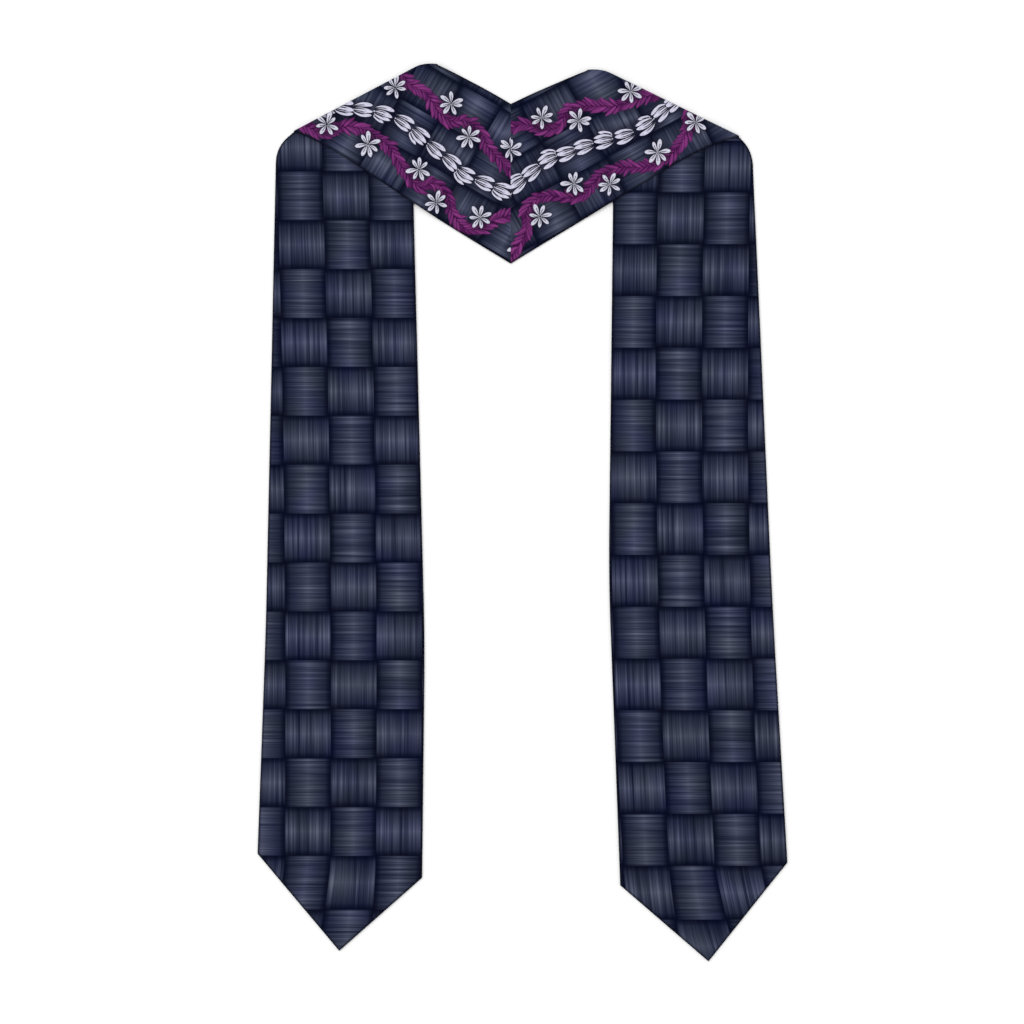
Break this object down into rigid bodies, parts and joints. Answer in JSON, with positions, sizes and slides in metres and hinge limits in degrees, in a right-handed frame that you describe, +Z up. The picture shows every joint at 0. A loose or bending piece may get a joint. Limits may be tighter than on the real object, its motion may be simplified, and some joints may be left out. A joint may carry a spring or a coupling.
{
  "type": "graduation stole",
  "caption": "Two-ply cloth graduation stole lying flat with pointed ends, its back yoke folded over the tops of both panels.",
  "frame": {"origin": "middle of the footprint, on the surface that the stole lies on", "axes": "+Y from the pointed ends towards the neck, +Z up out of the surface, +X towards the right panel"},
  "size_m": [0.478, 0.8061, 0.0068],
  "materials": {
    "face_cloth": "matte print",
    "lining_cloth": "matte print"
  },
  "bodies": {
    "root": {"left_face": "face_cloth", "left_lining": "lining_cloth", "right_face": "face_cloth", "right_lining": "lining_cloth"}
  },
  "joints": []
}
